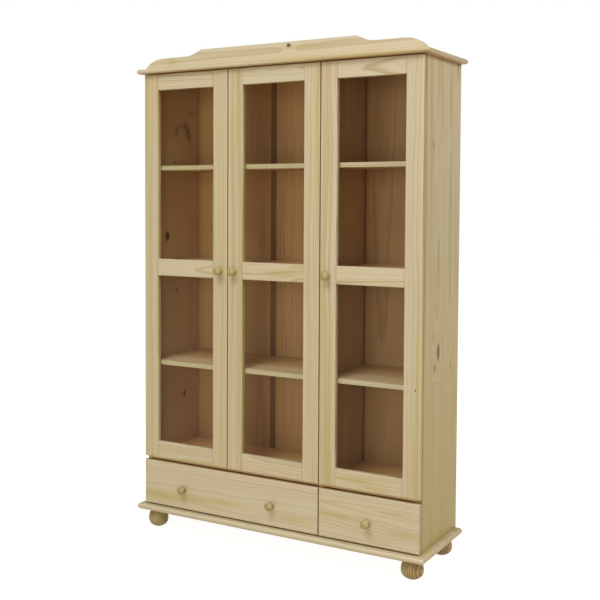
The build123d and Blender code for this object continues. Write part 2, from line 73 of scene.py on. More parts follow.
# The rails' marks are placed by shares of the rail's length and height.
RAIL_MARKS = {
    "door_middle_middle_rail": ((0.70, 0.45, 0.085, 0.016, 0.9), (0.95, 0.8, 0.05, 0.012, 0.8)),
    "door_right_bottom_rail": ((0.30, 0.55, 0.09, 0.010, 0.9), (0.62, 0.25, 0.07, 0.012, 0.7)),
    "door_left_bottom_rail": ((0.5, 0.5, 0.12, 0.006, 0.5),),
}
RAIL_HEARTS = {"top_rail": 0.1, "middle_rail": 0.25, "bottom_rail": 0.6}
# Painted shade: how bright each back sheet is, darker where its bay gets less light.
BACK_SHADES = {"left": 0.98, "middle": 0.999, "right": 0.86}
BACK_STAVE = 0.131  # width of the veneer leaves, in metres
SHEET_RINGS = 1.7  # veneer is peeled, so its rings look wider

# Lamps: name, place, the point it aims at, edge in metres, and the setting of its power.
LAMPS = (
    ("main_lamp", (-0.1, -4.2, 5.7), (-0.1, -0.1, 0.9), 2.2, "key"),
    ("side_lamp", (5.2, -0.5, 4.4), (0.5, 0.0, 1.7), 2.6, "fill"),
    ("front_lamp", (1.0, -6.2, 1.2), (-0.2, 0.0, 0.9), 3.0, "front"),
)


def display(red, green, blue):
    """A colour as a screen shows it, 0 to 255, turned into the linear light that shaders use."""
    parts = (channel / 255 for channel in (red, green, blue))
    return tuple(c / 12.92 if c <= 0.04045 else ((c + 0.055) / 1.055) ** 2.4 for c in parts)


def opaque(colour):
    return (*colour[:3], 1.0)


def colour_setting(name, description, default):
    return FloatVectorProperty(name=name, description=description, default=default,
                               subtype="COLOR", size=3, min=0.0, max=1.0)


def length_setting(name, description, default):
    return FloatProperty(name=name, description=description, default=default,
                         subtype="DISTANCE", unit="LENGTH", min=0.0)


def share_setting(name, description, default):
    return FloatProperty(name=name, description=description, default=default, subtype="FACTOR", min=0.0, max=1.0)


def power_setting(name, description, default):
    return FloatProperty(name=name, description=description, default=default, unit="POWER")


def angle_setting(name, description, degrees):
    return FloatProperty(name=name, description=description, default=math.radians(degrees),
                         subtype="ANGLE", unit="ROTATION")


class CabinetWoodSettings(bpy.types.PropertyGroup):
    """Colours and grain of the pine."""

    pale: colour_setting("Pale wood", "Early wood between the growth rings", display(200, 188, 156))
    blush: colour_setting("Blush", "Slightly pink zones of the boards", display(203, 184, 154))
    straw: colour_setting("Straw streaks", "Yellow green streaks of heartwood", display(181, 166, 108))
    late: colour_setting("Late wood", "Thin dark side of each growth ring", display(160, 138, 88))
    resin: colour_setting("Resin and end grain", "Brown of resin streaks, joints and board ends", display(128, 94, 46))
    # Painted shade of the gaps, laid on the doors' outer edges and the drawer fronts' edges.
    gap_shade: colour_setting("Sawn edges", "Yellow brown of the frames' and drawer fronts' edges", display(176, 142, 62))
    knot: colour_setting("Knots", "Heart of a knot", display(66, 36, 8))
    # Painted shade: the warm, darker colour of the faces inside the case and under the top's overhang.
    inner: colour_setting("Inside tone", "Warm tone of the boards' inner faces", display(196, 150, 94))
    # Painted light: the lit strip along the front of the shelves' tops.
    shelf: colour_setting("Shelf tops", "Paler wood of the shelves behind their front edges", display(242, 208, 158))
    # Painted shade of the floor of the glazed space.
    deck: colour_setting("Inner floor", "Warm tone of the floor of the glazed space", display(222, 174, 108))
    sheet: colour_setting("Back sheets", "Veneer of the back sheets", display(202, 158, 100))
    sheet_late: colour_setting("Back sheet rings", "Dark rings in the veneer", display(168, 120, 66))
    foot: colour_setting("Feet", "Early wood of the turned feet", display(174, 143, 84))
    foot_late: colour_setting("Feet rings", "Dark rings of the turned feet", display(96, 62, 26))
    knob: colour_setting("Knobs", "Early wood of the turned knobs", display(193, 174, 110))
    ring: length_setting("Ring width", "Distance between growth rings", 0.0075)
    stave: length_setting("Stave width", "Width of the staves glued into the wide boards", 0.068)
    gloss: share_setting("Roughness", "Roughness of the satin lacquer", 0.46)
    lacquer: share_setting("Lacquer", "Weight of the clear coat over the wood", 0.12)


class CabinetFittingSettings(bpy.types.PropertyGroup):
    """Colours of the glass, the metal and the back strips."""

    glass: colour_setting("Glass", "Faint tint of the panes", display(252, 253, 251))
    mirror: share_setting("Pane gloss", "How much of a mirror's share each face of a pane keeps", 0.1)
    steel: colour_setting("Plated steel", "Hinge cups, arms and plates", display(196, 194, 188))
    bronze: colour_setting("Bronzed steel", "Shelf supports", display(180, 140, 88))
    strip: colour_setting("Back strips", "Dark strips that join the back sheets", display(120, 76, 36))


class CabinetStageSettings(bpy.types.PropertyGroup):
    """Floor, lamps and camera."""

    floor: colour_setting("Floor", "Plain floor under the cabinet", display(176, 156, 120))
    floor_size: length_setting("Floor size", "Edge of the floor", 40.0)
    floor_glow: share_setting("Floor brightness", "Plain white that the camera sees added to the floor", 0.93)
    sky: FloatProperty(name="Room light", description="Strength of the even light of the room", default=0.31)
    key: power_setting("Main lamp", "Power of the large lamp above the front", 190.0)
    fill: power_setting("Side lamp", "Power of the lamp beside", 205.0)
    front: power_setting("Front lamp", "Power of the low lamp that reaches inside", 132.0)
    lens: FloatProperty(name="Lens", description="Focal length", default=62.297, unit="CAMERA")
    place: FloatVectorProperty(name="Camera place", description="Where the camera stands",
                               default=(1.87380, -3.66556, 1.37406), subtype="TRANSLATION", unit="LENGTH")
    heading: angle_setting("Heading", "Turn of the camera to the left", 33.3336)
    dip: angle_setting("Dip", "How far the camera looks down", 2.7093)
    shift: FloatVectorProperty(name="Shift", description="Sideways and upward shift of the lens",
                               default=(0.2, -0.0917), size=2)


class Amount:
    """A number inside a node tree, so that sums on it are written as plain expressions."""

    def __init__(self, nodes, socket):
        self.nodes = nodes
        self.socket = socket

    def __add__(self, other):
        return self.nodes.maths("ADD", self, other)

    def __radd__(self, other):
        return self.nodes.maths("ADD", other, self)

    def __sub__(self, other):
        return self.nodes.maths("SUBTRACT", self, other)

    def __rsub__(self, other):
        return self.nodes.maths("SUBTRACT", other, self)

    def __mul__(self, other):
        return self.nodes.maths("MULTIPLY", self, other)

    def __rmul__(self, other):
        return self.nodes.maths("MULTIPLY", other, self)

    def __truediv__(self, other):
        return self.nodes.maths("DIVIDE", self, other)

    def __rtruediv__(self, other):
        return self.nodes.maths("DIVIDE", other, self)

    def __pow__(self, other):
        return self.nodes.maths("POWER", self, other)


class Nodes:
    """The nodes of one material or world."""

    def __init__(self, tree):
        self.tree = tree
        tree.nodes.clear()

    def node(self, kind, settings, sockets):
        """Adds a node, with its settings first and then the values or links of its sockets."""
        made = self.tree.nodes.new(kind)
        for name, value in settings.items():
            setattr(made, name, value)
        for name, value in sockets.items():
            if isinstance(value, Amount):
                self.tree.links.new(value.socket, made.inputs[name])
            elif isinstance(value, bpy.types.NodeSocket):
                self.tree.links.new(value, made.inputs[name])
            else:
                made.inputs[name].default_value = value
        return made

    def maths(self, operation, *values):
        made = self.node("ShaderNodeMath", {"operation": operation}, dict(enumerate(values)))
        return Amount(self, made.outputs[0])

    def output(self, kind, sockets):
        """The first output of a new node that needs no settings."""
        return self.node(kind, {}, sockets).outputs[0]


class Finish(Nodes):
    """One procedural material."""

    def __init__(self, name):
        self.material = bpy.data.materials.new(name)
        self.material.use_nodes = True
        super().__init__(self.material.node_tree)

    def place(self):
        """The point's place on the piece, as three amounts."""
        where = self.node("ShaderNodeTexCoord", {}, {}).outputs["Object"]
        split = self.node("ShaderNodeSeparateXYZ", {}, {0: where})
        return [Amount(self, socket) for socket in split.outputs]

    def noise(self, x, y, z, detail=2.0, roughness=0.5):
        point = self.output("ShaderNodeCombineXYZ", {0: x, 1: y, 2: z})
        values = {"Vector": point, "Scale": 1.0, "Detail": detail, "Roughness": roughness}
        return Amount(self, self.node("ShaderNodeTexNoise", {}, values).outputs[0])

    def chance(self, number):
        """Three random amounts that hold for one whole number."""
        made = self.node("ShaderNodeTexWhiteNoise", {"noise_dimensions": "1D"}, {"W": number})
        split = self.node("ShaderNodeSeparateColor", {}, {0: made.outputs["Color"]})
        return [Amount(self, socket) for socket in split.outputs]

    def ramp(self, value, low, high):
        """A smooth step from 0 at low to 1 at high."""
        made = self.node("ShaderNodeMapRange", {"interpolation_type": "SMOOTHSTEP"}, {0: value, 1: low, 2: high})
        return Amount(self, made.outputs[0])

    def bell(self, first, second):
        """1 where both amounts are 0, falling off smoothly to all sides."""
        return self.maths("EXPONENT", (first * first + second * second) * -1.0)

    def blend(self, share, first, second, mode="MIX"):
        first, second = (opaque(c) if isinstance(c, tuple) else c for c in (first, second))
        made = self.node("ShaderNodeMix", {"data_type": "RGBA", "blend_type": mode}, {0: share, 6: first, 7: second})
        return made.outputs[2]

    def dimmed(self, colour, value):
        """The colour times one amount."""
        grey = self.output("ShaderNodeCombineColor", {0: value, 1: value, 2: value})
        return self.blend(1.0, colour, grey, "MULTIPLY")

    def relief(self, height, distance, strength):
        return self.output("ShaderNodeBump", {"Height": height, "Distance": distance, "Strength": strength})

    def show(self, socket):
        """Makes a shader the material's surface."""
        self.node("ShaderNodeOutputMaterial", {}, {"Surface": socket})
        return self.material

    def surface(self, values):
        return self.show(self.output("ShaderNodeBsdfPrincipled", values))


def tones(wood, kind):
    """Pale, blush, streak and ring colours of one kind of wood, the weights of streaks and rings,
    and the least weight of a single ring."""
    pale, blush, straw, late, streaks, rings, least = {
        "board": (wood.pale, wood.blush, wood.straw, wood.late, 0.9, 0.6, 0.12),
        # The back sheets take the painted inside shade colour as their blush.
        "sheet": (wood.sheet, wood.inner, wood.sheet_late, wood.sheet_late, 0.45, 0.5, 0.2),
        "turned": (wood.foot, wood.straw, wood.straw, wood.foot_late, 0.3, 1.0, 0.75),
        "knob": (wood.knob, wood.straw, wood.straw, wood.foot_late, 0.5, 0.9, 0.75),
    }[kind]
    return tuple(pale), tuple(blush), tuple(straw), tuple(late), streaks, rings, least


class Pine(Finish):
    """Sawn pine: growth rings round a pith that lies outside each board, seen where the board cuts them.
    What a piece doesn't set stays as it is here."""

    kind = "board"  # whose tones it has
    stave = 0.0  # width of its glued staves, 0 for one board
    split = None  # axis along which its two alike boards lie
    ring = 1.0  # width of its growth rings, as a share of the usual one
    taper = 0.05  # how much its pith may lean
    heart = 1.0  # weight of the streaks that it has by chance
    bold = 1.0  # contrast of rings and fibres
    knots = ()
    squat = 0.7  # width of its knots for their length
    marks = ()
    marked = None  # "inside" or "outside", where only that side of the board shows its resin marks
    ends = 0.2  # weight of the brown on its ends
    edges = 0.0  # weight of the yellow brown painted shade of the gaps on its narrow edges
    inner = None  # what has the painted shade of the inside: "all", or the face at a place on an axis, 1 for the low side of it
    tone = None  # its own colour for that painted inside shade, where that isn't the usual one; on the shelves, the painted light of their front strips
    warm = 0.7  # weight of that painted inside colour
    rear = None  # y past which the painted inside shade comes back, behind the shelves' painted light
    aged = 0.0  # weight of the painted shade, darker and yellower, towards its foot
    shade = 1.0  # brightness, below 1 a painted shade

    SHIFTS = (50.0, 30.0, 60.0, 40.0)  # how far apart two boards' drift, ripple, straw and blush lie in the noise
    DRIFT = (1.3, 6.0)  # slow wander of the grain, per metre along and across
    DRIFT_REACH = (0.055, 0.02, 0.03)  # how far that moves the rings sideways and in depth, and the marks
    RIPPLE = (7.0, 45.0, 0.003)  # small waves of the rings, and their height
    PITH = (0.10, 0.022, 0.05)  # sideways spread of the pith, its least depth, and the spread of that
    SWELL = (2.2, 1.3)  # reach and height of the rings' bend round a knot, in its sizes
    CORE = (0.5, 0.95)  # where a knot's dark part begins to fade and ends, in its sizes
    LATE = (0.15, 0.85, 0.86, 1.0)  # where in a ring the late wood rises and breaks off
    ZONES = (0.16, 0.35)  # size of the straw zones, per ring and per metre along
    STRAW = (0.52, 0.66)  # noise between which straw fades in
    STAIN = (1.1, 14.0)  # size of the blush zones, per metre along and across
    BLUSH = (0.4, 0.68)  # noise between which blush fades in
    FIBRE = (14.0, 800.0)  # size of the fibres, per metre along and across
    FIBRE_DEPTH = 0.10  # how much they darken and lighten the wood
    STAVE_DIM = (0.05, 0.96)  # spread and least of the staves' brightness
    STAVE_TINT = 0.35  # most weight of a stave's own tint
    END = (0.0022, 0.0006)  # where the brown of the ends fades in and is full, in metres from them
    EDGE = (0.0012, 0.0002)  # the same for the painted gap shade on the narrow edges
    REAR_SHADE = (0.09, 0.75)  # run in which the painted inside shade comes back behind the shelves' painted light, and its weight there
    FOOT = (-0.95, 0.55)  # height from the middle at which the painted low shade is full and ends
    LOW_SHADE = (0.80, 0.73, 0.42)  # what the painted low shade, darker and yellower, keeps of each colour
    KNOT_WEIGHT = 0.9  # most weight of a knot's colour
    GLOSS = (-0.06, 0.08)  # what late wood and fibres add to the roughness
    LACQUER_ROUGHNESS = 0.35
    RELIEF = (0.00025, 0.35)  # height of the grain in metres, and its strength

    def __init__(self, wood, node, grain, seed, **options):
        super().__init__("pine_" + node)
        for name, value in options.items():
            if not hasattr(Pine, name):
                raise TypeError(f"no such option of pine: {name}")
            setattr(self, name, value)
        self.wood = wood
        low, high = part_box(node)
        self.spans = high - low
        self.middle = [(high[i] + low[i]) / 2 for i in range(3)]
        self.where = self.place()
        self.grain = AXES.index(grain)
        others = [i for i in range(3) if i != self.grain]
        self.wide, self.thin = sorted(others, key=lambda i: -self.spans[i])
        self.along, self.across, self.through = (
            self.where[i] - self.middle[i] for i in (self.grain, self.wide, self.thin))
        self.number, self.local = self.part(seed)
        self.picks = self.chance(self.number)
        shift = self.SHIFTS[0]
        self.drift = self.noise(self.along * self.DRIFT[0] + self.picks[0] * shift, self.across * self.DRIFT[1],
                                self.through * self.DRIFT[1] + self.picks[1] * shift) - 0.5
        self.bark = 0.0
        self.rings = self.grow() / (wood.ring * self.ring)

    def part(self, seed):
        """A number for each stave or board of the piece, and the place across inside it."""
        first = seed * 31
        if self.stave:
            count = self.across / self.stave + (seed * 0.37 % 1)
            whole = self.maths("FLOOR", count)
            return whole + first, (count - whole - 0.5) * self.stave
        if self.split:
            axis = AXES.index(self.split)
            return self.maths("GREATER_THAN", self.where[axis], self.middle[axis]) + first, self.across
        return seed, self.across

    def grow(self):
        """Distance from the pith, bent round the knots."""
        spread, near, reach = self.PITH
        along, across, height = self.RIPPLE
        ripple = self.noise(self.along * along + self.picks[2] * self.SHIFTS[1], self.across * across,
                            self.through * across, 3.0) - 0.5
        side = self.local + (self.picks[0] - 0.5) * spread + self.drift * self.DRIFT_REACH[0]
        depth = (self.through + near + self.picks[1] * reach + self.along * (self.picks[2] - 0.5) * self.taper
                 + self.drift * self.DRIFT_REACH[1])
        radius = self.maths("SQRT", side * side + depth * depth) + ripple * height
        for place, level, size in self.knots:
            far, aside = self.offset(place, level)
            far = far * self.squat
            gap = self.maths("SQRT", far * far + aside * aside)
            swell = self.maths("EXPONENT", (gap / (size * self.SWELL[0])) ** 2.0 * -1.0)
            radius = radius + swell * size * self.SWELL[1]
            core = 1.0 - self.ramp(gap, size * self.CORE[0], size * self.CORE[1])
            self.bark = self.maths("MAXIMUM", self.bark, core)
        return radius

    def offset(self, place, level):
        """How far the point is from a place along and across the grain."""
        return self.along - (place - self.middle[self.grain]), self.across - (level - self.middle[self.wide])

    def late_wood(self, least):
        """How dark the rings are, each year's with a weight of its own."""
        year = self.maths("FLOOR", self.rings)
        age = self.rings - year
        weight = self.chance(year + self.number * 7.0)[0]
        start, full, turn, end = self.LATE
        rise = self.ramp(age, start, full) * (1.0 - self.ramp(age, turn, end))
        return rise * (weight * weight * (1 - least) + least)

    def streaks(self):
        """Straw streaks, and resin marks."""
        zone = self.noise(self.rings * self.ZONES[0] + self.picks[1] * self.SHIFTS[2], self.along * self.ZONES[1],
                          0.0, 1.0)
        streak = self.ramp(zone, *self.STRAW) * self.heart
        resin = None
        for place, level, reach, width, weight in self.marks:
            far, aside = self.offset(place, level)
            spot = self.bell(far / reach, (aside + self.drift * self.DRIFT_REACH[2]) / width) * abs(weight)
            if weight > 0:
                streak = self.maths("MAXIMUM", streak, spot)
            else:
                resin = self.maths("MAXIMUM", resin or 0.0, spot)
        return streak, resin

    def near_end(self, amount, axis, start, stop):
        """A step from 0 to 1 towards the piece's two ends on an axis, from start to stop metres before them."""
        half = self.spans[axis] / 2
        return self.ramp(self.maths("ABSOLUTE", amount), half - start, half - stop)

    def finished(self):
        """The material, with its tones laid over each other from the pale wood up."""
        wood = self.wood
        pale, blush, straw, late, streak_weight, ring_weight, least = tones(wood, self.kind)
        dark = self.late_wood(least)
        streak, resin = self.streaks()
        stain = self.noise(self.along * self.STAIN[0], self.local * self.STAIN[1], self.picks[2] * self.SHIFTS[3], 1.0)
        fibre = self.noise(self.along * self.FIBRE[0], self.across * self.FIBRE[1], self.through * self.FIBRE[1],
                           3.0, 0.6)
        colour = self.blend(self.ramp(stain, *self.BLUSH), pale, blush)
        colour = self.blend(streak * streak_weight, colour, straw)
        colour = self.blend(dark * (ring_weight * self.bold), colour, late)
        if self.stave or self.split:
            spread, least_dim = self.STAVE_DIM
            colour = self.dimmed(colour, self.picks[2] * spread + least_dim)
            tint = self.blend(self.picks[0], blush, straw)
            colour = self.blend(self.picks[1] * self.STAVE_TINT, colour, tint)
        contrast = self.FIBRE_DEPTH * self.bold
        colour = self.dimmed(colour, fibre * contrast + (1.0 - contrast / 2))
        tip = self.near_end(self.along, self.grain, *self.END)
        colour = self.blend(tip * self.ends, colour, tuple(wood.resin))
        # Painted shade of the gaps on the narrow edges.
        if self.edges:
            gap_shade = self.near_end(self.across, self.wide, *self.EDGE)
            colour = self.blend(gap_shade * self.edges, colour, tuple(wood.gap_shade))
        colour = self.with_inside_shade(colour, resin)
        # Painted shade: darker and yellower towards the foot.
        if self.aged:
            low_part = (1.0 - self.ramp(self.along, *self.FOOT)) * self.aged
            colour = self.blend(low_part, colour, self.LOW_SHADE, "MULTIPLY")
        # Painted shade: the whole piece dimmed.
        if self.shade < 1.0:
            colour = self.dimmed(colour, self.shade)
        if self.knots:
            colour = self.blend(self.bark * self.KNOT_WEIGHT, colour, tuple(wood.knot))
        return self.surface({
            "Base Color": colour,
            "Roughness": wood.gloss + dark * self.GLOSS[0] + fibre * self.GLOSS[1],
            "Coat Weight": wood.lacquer,
            "Coat Roughness": self.LACQUER_ROUGHNESS,
            "Normal": self.relief(dark * 0.5 + fibre * 0.5, *self.RELIEF),
        })

    def with_inside_shade(self, colour, resin):
        """Adds the painted shade of the inside, the painted light along the shelves' fronts with the painted shade
        behind it, and the resin marks over it.
        """
        tone = tuple(self.tone or self.wood.inner)
        # Painted shade of the inside, on all faces or on one face.
        if self.inner == "all":
            colour = self.blend(self.warm, colour, tone)
        elif self.inner:
            axis, plane, side = self.inner
            test = "LESS_THAN" if side > 0 else "GREATER_THAN"
            mask = self.maths(test, self.where[AXES.index(axis)], plane)
            colour = self.blend(mask * self.warm, colour, tone)
        # Painted shade behind the shelves' painted light: the inside colour comes back past the front strip.
        if self.rear is not None:
            run, weight = self.REAR_SHADE
            deep = self.ramp(self.where[1], self.rear, self.rear + run)
            colour = self.blend(deep * weight, colour, tuple(self.wood.inner))
        if resin:
            if self.marked:
                resin = resin * (mask if self.marked == "inside" else 1.0 - mask)
            colour = self.blend(resin, colour, tuple(self.wood.resin))
        return colour


def plated(name, colour):
    """Plated steel with a faint drawn grain and dulling."""
    finish = Finish(name)
    x, y, z = finish.place()
    broad, fine, blotch = 60, 1500, 90  # per metre
    drawn = finish.noise(x * broad, y * broad, z * fine)
    cloud = finish.noise(x * blotch, y * blotch, z * blotch)
    dulled = tuple(c * 0.72 for c in colour)
    dulling = finish.ramp(cloud, 0.35, 0.7) * 0.35
    return finish.surface({
        "Base Color": finish.blend(dulling, colour, dulled),
        "Metallic": 1.0,
        "Roughness": 0.26 + cloud * 0.16 + drawn * 0.06,
        "Normal": finish.relief(drawn, 0.00004, 0.3),
    })


def moulded(name, colour):
    """Dark moulded strip with a fine drawn texture along it."""
    finish = Finish(name)
    x, y, z = finish.place()
    fine, run, blotch, length = 900, 9, 60, 2.5  # per metre
    streak = finish.noise(x * fine, y * fine, z * run)
    cloud = finish.noise(x * blotch, y * blotch, z * length)
    light, deep = (tuple(c * share for c in colour) for share in (1.25, 0.7))
    return finish.surface({
        "Base Color": finish.blend(streak * 0.35 + cloud * 0.25, light, deep),
        "Roughness": 0.42 + streak * 0.12,
        "Normal": finish.relief(streak, 0.0001, 0.3),
    })


def pane_glass(name, fittings):
    """Clear sheet glass: mostly see-through, with a mirror's share that grows at a slant."""
    finish = Finish(name)
    x, y, z = finish.place()
    smear = finish.noise(x * 5, y * 5, z * 4)
    clear = finish.output("ShaderNodeBsdfTransparent", {"Color": opaque(fittings.glass)})
    mirror = finish.output("ShaderNodeBsdfGlossy", {"Color": opaque(WHITE), "Roughness": 0.02})
    slant = Amount(finish, finish.output("ShaderNodeFresnel", {"IOR": 1.5}))
    share = slant * (0.9 + smear * 0.2) * fittings.mirror
    return finish.show(finish.output("ShaderNodeMixShader", {0: share, 1: clear, 2: mirror}))


def dress(node, material):
    """Gives a piece of the frame its finish."""
    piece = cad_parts[node]
    if not piece.material_slots:
        piece.data.materials.append(material)
    for held in piece.material_slots:
        held.material = material


def sawn(wood, node, grain, seed, **options):
    """Gives a piece of the frame its pine, from the axis of its grain and the seed of its rings."""
    dress(node, Pine(wood, node, grain, seed, **options).finished())


def stile_marks(left, right):
    """Straw streaks of each door's stiles, from the door's two edges."""
    return (
        ((1.1, left + 0.030, 0.9, 0.010, 0.8), (0.8, right - 0.022, 0.9, 0.004, 0.8),
         (1.5, right - 0.040, 0.4, 0.005, 0.6)),
        ((1.3, left + 0.022, 0.8, 0.012, 0.9), (0.9, left + 0.048, 0.7, 0.004, 0.7),
         (0.6, right - 0.030, 0.5, 0.008, 0.6)),
        ((1.1, left + 0.016, 0.9, 0.006, 1.0), (0.42, left + 0.030, 0.5, 0.022, 1.0),
         (1.0, left + 0.040, 0.9, 0.004, 0.8), (0.7, right - 0.012, 0.5, 0.008, 0.9)),
    )


def rail_marks(node):
    """A rail's marks at their places in metres."""
    low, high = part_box(node)
    return [(low.x + share * (high.x - low.x), low.z + rise * (high.z - low.z), *rest)
            for share, rise, *rest in RAIL_MARKS.get(node, ())]


class CABINET_OT_case_boards(bpy.types.Operator):
    """Sides, partition, top, plinth, deck, divider and crest of solid pine"""

    bl_idname = "cabinet.case_boards"
    bl_label = "Case boards"
    bl_options = {"REGISTER", "UNDO"}

    def execute(self, context):
        wood = context.scene.cabinet_wood
        wide_stave = wood.stave * 1.3
        # Painted shade: the inside faces, the top board's underside, the deck and the divider take the warm, darker
        # inside colour.
        inner_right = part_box("side_right")[0].x + SKIN
        inner_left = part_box("side_left")[1].x - SKIN
        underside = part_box("top_board")[0].z + SKIN
        # The right side is also painted darker and yellower towards its foot, as painted shade.
        sawn(wood, "side_right", "z", 3, stave=wood.stave, knots=SIDE_RIGHT_KNOTS, squat=0.48, marks=SIDE_RIGHT_MARKS,
             inner=("x", inner_right, 1), marked="outside", bold=1.7, ring=0.8, aged=1.0)
        sawn(wood, "side_left", "z", 8, stave=wood.stave * 1.6, knots=SIDE_LEFT_KNOTS, marks=SIDE_LEFT_MARKS,
             inner=("x", inner_left, -1), marked="inside")
        sawn(wood, "partition", "z", 12, stave=wood.stave, knots=PARTITION_KNOTS, inner="all")
        sawn(wood, "top_board", "x", 5, stave=wide_stave, inner=("z", underside, 1))
        sawn(wood, "plinth_board", "x", 6, stave=wide_stave)
        sawn(wood, "deck_board", "x", 7, stave=wood.stave, inner="all", warm=0.85, tone=wood.deck)
        sawn(wood, "drawer_divider", "z", 9, stave=wood.stave, inner="all")
        sawn(wood, "crest", "x", 14, knots=CREST_KNOTS, marks=CREST_MARKS, ends=0.0)
        return {"FINISHED"}


class CABINET_OT_back(bpy.types.Operator):
    """Back sheets in a warm veneer and the dark strips that join them"""

    bl_idname = "cabinet.back"
    bl_label = "Back sheets and strips"
    bl_options = {"REGISTER", "UNDO"}

    def execute(self, context):
        scene = context.scene
        wood = scene.cabinet_wood
        # Each sheet's shade is painted shade: darker where its bay gets less light.
        for seed, (side, shade) in enumerate(BACK_SHADES.items(), 20):
            sawn(wood, "back_sheet_" + side, "z", seed, kind="sheet", stave=BACK_STAVE, ring=SHEET_RINGS, bold=1.5,
                 shade=shade)
        dress("back_joint_strips", moulded("dark_strip", tuple(scene.cabinet_fittings.strip)))
        return {"FINISHED"}


class CABINET_OT_shelves(bpy.types.Operator):
    """Shelves of glued pine, with painted light along their fronts and painted shade behind, and their steel supports
    """

    bl_idname = "cabinet.shelves"
    bl_label = "Shelves"
    bl_options = {"REGISTER", "UNDO"}

    def execute(self, context):
        scene = context.scene
        wood = scene.cabinet_wood
        for seed, node in enumerate(SHELVES, 30):
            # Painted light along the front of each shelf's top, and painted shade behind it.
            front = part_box(node)[0].y + NOSE
            sawn(wood, node, "x", seed, stave=wood.stave, heart=0.15, inner=("y", front, -1), warm=0.6,
                 tone=wood.shelf, rear=front + LIT_SHELF_STRIP)
        dress("shelf_supports", plated("bronzed_shelf_supports", tuple(scene.cabinet_fittings.bronze)))
        return {"FINISHED"}


class CABINET_OT_doors(bpy.types.Operator):
    """Door frames with upright stiles, level rails and glazing beads"""

    bl_idname = "cabinet.doors"
    bl_label = "Door frames"
    bl_options = {"REGISTER", "UNDO"}

    def execute(self, context):
        wood = context.scene.cabinet_wood
        for step, door in enumerate(DOORS):
            seed = 40 + step * 8
            stiles = door + "_stiles"
            low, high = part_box(stiles)
            # The doors' outer edges take painted shade of the gaps.
            sawn(wood, stiles, "z", seed, split="x", knots=STILE_KNOTS.get(door, ()),
                 marks=stile_marks(low.x, high.x)[step], edges=0.7, bold=1.3, ring=0.85)
            for rail_seed, (rail, heart) in enumerate(RAIL_HEARTS.items(), seed + 1):
                node = f"{door}_{rail}"
                sawn(wood, node, "x", rail_seed, marks=rail_marks(node), ring=0.7, ends=0.75, taper=0.1, bold=1.2,
                     heart=heart)
            sawn(wood, door + "_beads", "z", seed + 5, split="x")
        return {"FINISHED"}


class CABINET_OT_drawers(bpy.types.Operator):
    """Drawer fronts and boxes, and the runners that they slide on"""

    bl_idname = "cabinet.drawers"
    bl_label = "Drawers"
    bl_options = {"REGISTER", "UNDO"}

    def execute(self, context):
        wood = context.scene.cabinet_wood
        for step, drawer in enumerate(DRAWERS):
            seed = 70 + step * 9
            # The drawer fronts' edges take painted shade of the gaps.
            sawn(wood, drawer + "_front", "x", seed, ring=1.3, ends=0.45, taper=0.12, marks=DRAWER_MARKS[step],
                 heart=0.12, edges=0.3, bold=0.75)
            sawn(wood, drawer + "_sides", "y", seed + 1, split="x")
            sawn(wood, drawer + "_back", "x", seed + 2)
            sawn(wood, drawer + "_bottom", "x", seed + 3, kind="sheet", ring=SHEET_RINGS)
        sawn(wood, "drawer_runners", "y", 95, split="x")
        return {"FINISHED"}


class CABINET_OT_turnings(bpy.types.Operator):
    """Turned bun feet and knobs, with the rings that the lathe opens"""

    bl_idname = "cabinet.turnings"
    bl_label = "Feet and knobs"
    bl_options = {"REGISTER", "UNDO"}

    def execute(self, context):
        wood = context.scene.cabinet_wood
        sawn(wood, "bun_feet", "z", 101, kind="turned", split="x", ends=0.0)
        for seed, door in enumerate(DOORS, 110):
            sawn(wood, door + "_knob", "y", seed, kind="knob", ring=0.5, ends=0.0)
        for seed, drawer in enumerate(DRAWERS, 115):
            sawn(wood, drawer + "_knobs", "y", seed, kind="knob", split="x", ring=0.5, ends=0.0)
        return {"FINISHED"}


class CABINET_OT_panes(bpy.types.Operator):
    """Clear sheet glass of the doors"""

    bl_idname = "cabinet.panes"
    bl_label = "Panes"
    bl_options = {"REGISTER", "UNDO"}

    def execute(self, context):
        glass = pane_glass("sheet_glass", context.scene.cabinet_fittings)
        for door in DOORS:
            dress(door + "_panes", glass)
        return {"FINISHED"}


class CABINET_OT_hinges(bpy.types.Operator):
    """Cups, arms and plates of the concealed hinges"""

    bl_idname = "cabinet.hinges"
    bl_label = "Hinges"
    bl_options = {"REGISTER", "UNDO"}

    def execute(self, context):
        steel = plated("plated_hinges", tuple(context.scene.cabinet_fittings.steel))
        dress("hinge_plates", steel)
        for door in DOORS:
            dress(door + "_hinge_cups", steel)
            dress(door.replace("door", "hinge_arms"), steel)
        return {"FINISHED"}


def floor_finish(stage):
    """Pale floor that the camera sees close to white and that still takes the cabinet's shadow."""
    finish = Finish("pale_floor")
    x, y, z = finish.place()
    mottle = finish.noise(x * 3, y * 3, z, 3.0)
    tint = finish.blend(mottle * 0.25, tuple(stage.floor), tuple(c * 0.97 for c in stage.floor))
    matt = finish.output("ShaderNodeBsdfDiffuse", {"Color": tint})
    path = finish.node("ShaderNodeLightPath", {}, {}).outputs
    seen = finish.maths("MAXIMUM", path["Is Camera Ray"], path["Is Glossy Ray"])
    seen = finish.maths("MAXIMUM", seen, path["Is Transmission Ray"])
    glow = finish.output("ShaderNodeEmission", {"Color": opaque(WHITE), "Strength": seen * stage.floor_glow})
    return finish.show(finish.output("ShaderNodeAddShader", {0: matt, 1: glow}))


